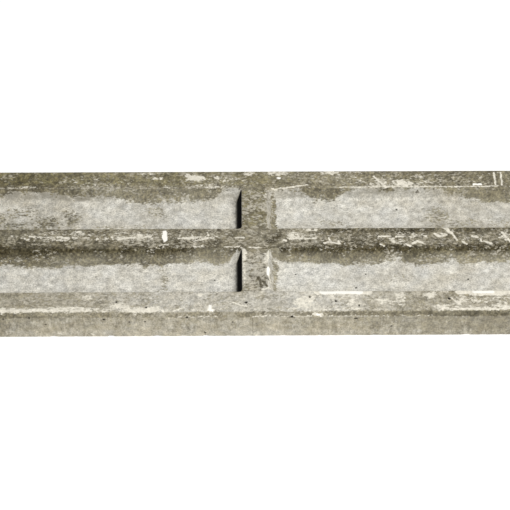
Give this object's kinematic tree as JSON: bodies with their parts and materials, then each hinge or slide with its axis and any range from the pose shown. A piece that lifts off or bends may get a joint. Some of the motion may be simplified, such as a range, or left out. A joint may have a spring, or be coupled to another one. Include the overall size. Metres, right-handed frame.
{
  "type": "concrete gravel board",
  "caption": "Cast concrete gravel board with drafted recessed panels between edge, middle and cross ribs, chamfered long arrises and a flat back.",
  "frame": {"origin": "middle of the flat back face, on the surface that the board lies on", "axes": "+X along the board, +Y across it towards the edge that is upper in a fence, +Z out of the recessed face"},
  "size_m": [1.83, 0.305, 0.05],
  "materials": {
    "weathered_concrete": "matt cast concrete, pale grey in the recesses, browned and stained on the ribs"
  },
  "bodies": {
    "root": {"gravel_board": "weathered_concrete"}
  },
  "joints": []
}
